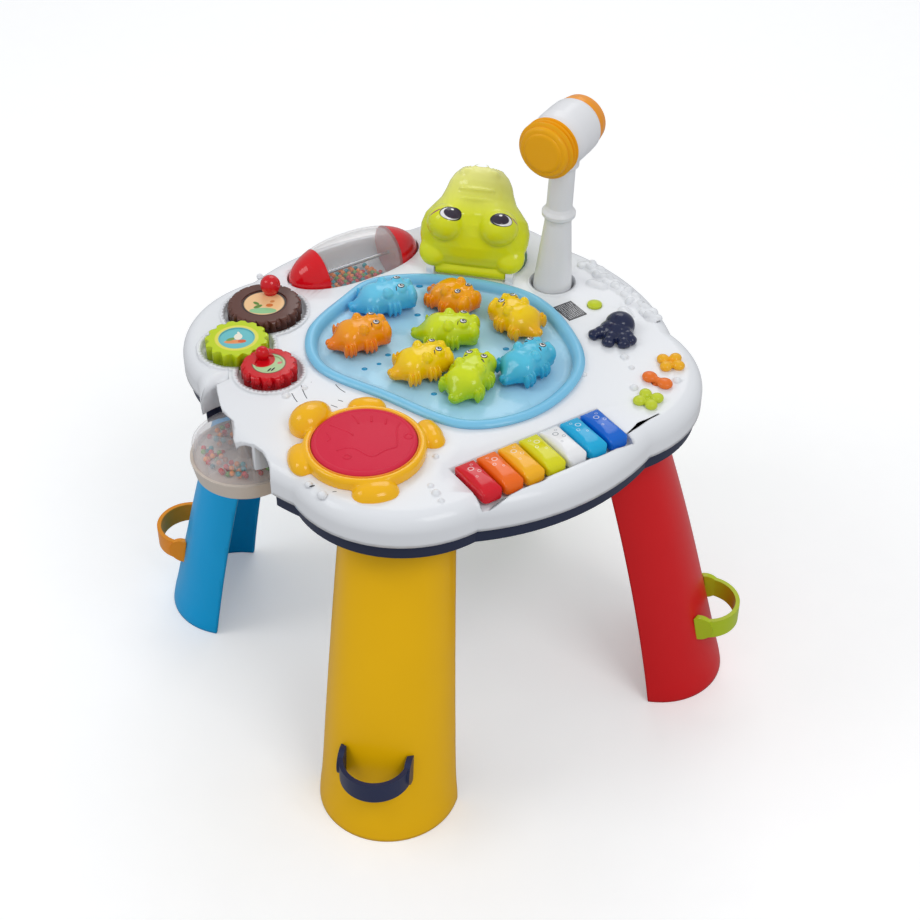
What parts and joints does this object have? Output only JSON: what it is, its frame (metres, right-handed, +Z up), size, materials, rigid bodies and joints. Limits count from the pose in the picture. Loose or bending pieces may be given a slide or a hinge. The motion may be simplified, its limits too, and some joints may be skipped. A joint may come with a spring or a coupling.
{
  "type": "musical activity table",
  "caption": "Lobed toddler activity table on four curved legs with drum, piano keys, gears, bead rollers, tap animals, snapping head and hammer.",
  "frame": {"origin": "centre of the footprint on the floor", "axes": "+Z up, -Y towards the drum lobe and its leg, +X towards the leg beside the piano's right end"},
  "size_m": [0.5678, 0.5678, 0.5099],
  "materials": {
    "white_shell": "smooth glossy",
    "navy_shell": "fine satin",
    "steel": "plain",
    "yellow_plastic": "smooth glossy",
    "red_plastic": "smooth glossy",
    "green_plastic": "smooth glossy",
    "blue_plastic": "smooth glossy",
    "orange_plastic": "smooth glossy",
    "navy_plastic": "smooth glossy",
    "pond_blue": "smooth glossy",
    "animal_blue": "translucent glossy",
    "animal_orange": "translucent glossy",
    "animal_amber": "translucent glossy",
    "animal_lime": "translucent glossy",
    "animal_yellow": "translucent glossy",
    "animal_cyan": "translucent glossy",
    "pad_red": "soft matte",
    "key_red": "smooth glossy",
    "key_orange": "smooth glossy",
    "key_amber": "smooth glossy",
    "key_lime": "smooth glossy",
    "key_white": "smooth glossy",
    "key_cyan": "smooth glossy",
    "key_blue": "smooth glossy",
    "gear_brown": "smooth glossy",
    "gear_lime": "smooth glossy",
    "clear_plastic": "clear glossy",
    "beads": "smooth glossy",
    "beige_plastic": "smooth glossy",
    "head_lime": "smooth glossy",
    "jaw_green": "smooth glossy",
    "display": "smooth glossy",
    "board": "fibreglass",
    "silicone": "soft matte",
    "black_plastic": "fine matte"
  },
  "bodies": {
    "table": {"top_shell": "white_shell", "base_shell": "navy_shell", "screws": "steel", "leg_front": "yellow_plastic", "leg_right": "red_plastic", "leg_back": "green_plastic", "leg_left": "blue_plastic", "leg_loop_front": "navy_plastic", "leg_loop_right": "green_plastic", "leg_loop_back": "red_plastic", "leg_loop_left": "orange_plastic", "pond_tray": "pond_blue", "drum_ring": "yellow_plastic", "key_rod": "steel", "roller_axle": "steel", "spinner_pin": "steel", "snapper_pin": "steel", "snapper_jaw": "jaw_green", "display_window": "display", "circuit_board": "board", "contact_mat": "silicone", "speaker": "black_plastic", "battery_door": "navy_shell"},
    "animal_1": {"animal_1": "animal_blue"},
    "animal_2": {"animal_2": "animal_orange"},
    "animal_3": {"animal_3": "animal_amber"},
    "animal_4": {"animal_4": "animal_orange"},
    "animal_5": {"animal_5": "animal_lime"},
    "animal_6": {"animal_6": "animal_yellow"},
    "animal_7": {"animal_7": "animal_lime"},
    "animal_8": {"animal_8": "animal_cyan"},
    "drum_pad": {"drum_pad": "pad_red"},
    "key_1": {"key_1": "key_red"},
    "key_2": {"key_2": "key_orange"},
    "key_3": {"key_3": "key_amber"},
    "key_4": {"key_4": "key_lime"},
    "key_5": {"key_5": "key_white"},
    "key_6": {"key_6": "key_cyan"},
    "key_7": {"key_7": "key_blue"},
    "gear_brown": {"gear_brown": "gear_brown", "gear_knob": "red_plastic"},
    "gear_lime": {"gear_lime": "gear_lime"},
    "gear_red": {"gear_red": "red_plastic"},
    "roller": {"roller_tube": "clear_plastic", "roller_caps": "red_plastic", "roller_beads": "beads"},
    "spinner": {"spinner_dish": "beige_plastic", "spinner_cover": "clear_plastic", "spinner_beads": "beads"},
    "hammer": {"hammer_handle": "white_shell", "hammer_barrel": "white_shell", "hammer_bellows": "yellow_plastic", "hammer_end": "orange_plastic"},
    "snapper": {"snapper_head": "head_lime"},
    "mode_button": {"mode_button": "gear_lime"},
    "sea_button": {"sea_button": "navy_plastic"},
    "shape_button_1": {"shape_button_1": "yellow_plastic"},
    "shape_button_2": {"shape_button_2": "orange_plastic"},
    "shape_button_3": {"shape_button_3": "gear_lime"},
    "power_switch": {"power_switch": "black_plastic"}
  },
  "joints": [
    {"name": "animal_1_tap", "type": "slide", "parent": "table", "child": "animal_1", "axis": [0, 0, 1], "range_m": [-0.0035, 0], "stiffness_N_per_m": 400, "springref_m": 0.002},
    {"name": "animal_2_tap", "type": "slide", "parent": "table", "child": "animal_2", "axis": [0, 0, 1], "range_m": [-0.0035, 0], "stiffness_N_per_m": 400, "springref_m": 0.002},
    {"name": "animal_3_tap", "type": "slide", "parent": "table", "child": "animal_3", "axis": [0, 0, 1], "range_m": [-0.0035, 0], "stiffness_N_per_m": 400, "springref_m": 0.002},
    {"name": "animal_4_tap", "type": "slide", "parent": "table", "child": "animal_4", "axis": [0, 0, 1], "range_m": [-0.0035, 0], "stiffness_N_per_m": 400, "springref_m": 0.002},
    {"name": "animal_5_tap", "type": "slide", "parent": "table", "child": "animal_5", "axis": [0, 0, 1], "range_m": [-0.0035, 0], "stiffness_N_per_m": 400, "springref_m": 0.002},
    {"name": "animal_6_tap", "type": "slide", "parent": "table", "child": "animal_6", "axis": [0, 0, 1], "range_m": [-0.0035, 0], "stiffness_N_per_m": 400, "springref_m": 0.002},
    {"name": "animal_7_tap", "type": "slide", "parent": "table", "child": "animal_7", "axis": [0, 0, 1], "range_m": [-0.0035, 0], "stiffness_N_per_m": 400, "springref_m": 0.002},
    {"name": "animal_8_tap", "type": "slide", "parent": "table", "child": "animal_8", "axis": [0, 0, 1], "range_m": [-0.0035, 0], "stiffness_N_per_m": 400, "springref_m": 0.002},
    {"name": "drum_press", "type": "slide", "parent": "table", "child": "drum_pad", "axis": [0, 0, 1], "range_m": [-0.002, 0], "stiffness_N_per_m": 900, "springref_m": 0.002},
    {"name": "key_1_press", "type": "hinge", "parent": "table", "child": "key_1", "pos_m": [0.0548, -0.15192, 0.326], "axis": [0.7071, 0.7071, 0], "range_deg": [0, 4], "stiffness_Nm_per_rad": 0.05, "springref_deg": -5.73},
    {"name": "key_2_press", "type": "hinge", "parent": "table", "child": "key_2", "pos_m": [0.06915, -0.13757, 0.326], "axis": [0.7071, 0.7071, 0], "range_deg": [0, 4], "stiffness_Nm_per_rad": 0.05, "springref_deg": -5.73},
    {"name": "key_3_press", "type": "hinge", "parent": "table", "child": "key_3", "pos_m": [0.0835, -0.12321, 0.326], "axis": [0.7071, 0.7071, 0], "range_deg": [0, 4], "stiffness_Nm_per_rad": 0.05, "springref_deg": -5.73},
    {"name": "key_4_press", "type": "hinge", "parent": "table", "child": "key_4", "pos_m": [0.09786, -0.10886, 0.326], "axis": [0.7071, 0.7071, 0], "range_deg": [0, 4], "stiffness_Nm_per_rad": 0.05, "springref_deg": -5.73},
    {"name": "key_5_press", "type": "hinge", "parent": "table", "child": "key_5", "pos_m": [0.11221, -0.0945, 0.326], "axis": [0.7071, 0.7071, 0], "range_deg": [0, 4], "stiffness_Nm_per_rad": 0.05, "springref_deg": -5.73},
    {"name": "key_6_press", "type": "hinge", "parent": "table", "child": "key_6", "pos_m": [0.12657, -0.08015, 0.326], "axis": [0.7071, 0.7071, 0], "range_deg": [0, 4], "stiffness_Nm_per_rad": 0.05, "springref_deg": -5.73},
    {"name": "key_7_press", "type": "hinge", "parent": "table", "child": "key_7", "pos_m": [0.14092, -0.0658, 0.326], "axis": [0.7071, 0.7071, 0], "range_deg": [0, 4], "stiffness_Nm_per_rad": 0.05, "springref_deg": -5.73},
    {"name": "brown_spin", "type": "hinge", "parent": "table", "child": "gear_brown", "pos_m": [-0.164, 0.023, 0.335], "axis": [0, 0, 1], "continuous": true},
    {"name": "lime_spin", "type": "hinge", "parent": "table", "child": "gear_lime", "pos_m": [-0.171, -0.034, 0.335], "axis": [0, 0, 1], "continuous": true},
    {"name": "red_spin", "type": "hinge", "parent": "table", "child": "gear_red", "pos_m": [-0.1328, -0.0638, 0.335], "axis": [0, 0, 1], "continuous": true},
    {"name": "roller_spin", "type": "hinge", "parent": "table", "child": "roller", "pos_m": [-0.108, 0.119, 0.328], "axis": [0.7071, 0.7071, 0], "continuous": true},
    {"name": "spinner_spin", "type": "hinge", "parent": "table", "child": "spinner", "pos_m": [-0.141, -0.117, 0.285], "axis": [0, 0, 1], "continuous": true},
    {"name": "hammer_pull", "type": "slide", "parent": "table", "child": "hammer", "axis": [0.0419, 0, 0.9991], "range_m": [0, 0.12]},
    {"name": "snapper_hinge", "type": "hinge", "parent": "table", "child": "snapper", "pos_m": [0.003, 0.118, 0.336], "axis": [1, 0, 0], "range_deg": [-48, 10]},
    {"name": "mode_press", "type": "slide", "parent": "table", "child": "mode_button", "axis": [0, 0, 1], "range_m": [-0.0015, 0], "stiffness_N_per_m": 200, "springref_m": 0.002},
    {"name": "sea_press", "type": "slide", "parent": "table", "child": "sea_button", "axis": [0, 0, 1], "range_m": [-0.0018, 0], "stiffness_N_per_m": 300, "springref_m": 0.002},
    {"name": "shape_1_press", "type": "slide", "parent": "table", "child": "shape_button_1", "axis": [0, 0, 1], "range_m": [-0.0015, 0], "stiffness_N_per_m": 200, "springref_m": 0.002},
    {"name": "shape_2_press", "type": "slide", "parent": "table", "child": "shape_button_2", "axis": [0, 0, 1], "range_m": [-0.0015, 0], "stiffness_N_per_m": 200, "springref_m": 0.002},
    {"name": "shape_3_press", "type": "slide", "parent": "table", "child": "shape_button_3", "axis": [0, 0, 1], "range_m": [-0.0015, 0], "stiffness_N_per_m": 200, "springref_m": 0.002},
    {"name": "power_slide", "type": "slide", "parent": "table", "child": "power_switch", "axis": [1, 0, 0], "range_m": [0, 0.006]}
  ],
  "couplings": [
    {"joint": "lime_spin", "follows": "brown_spin", "ratio": -1.2},
    {"joint": "red_spin", "follows": "brown_spin", "ratio": 1.3846}
  ]
}
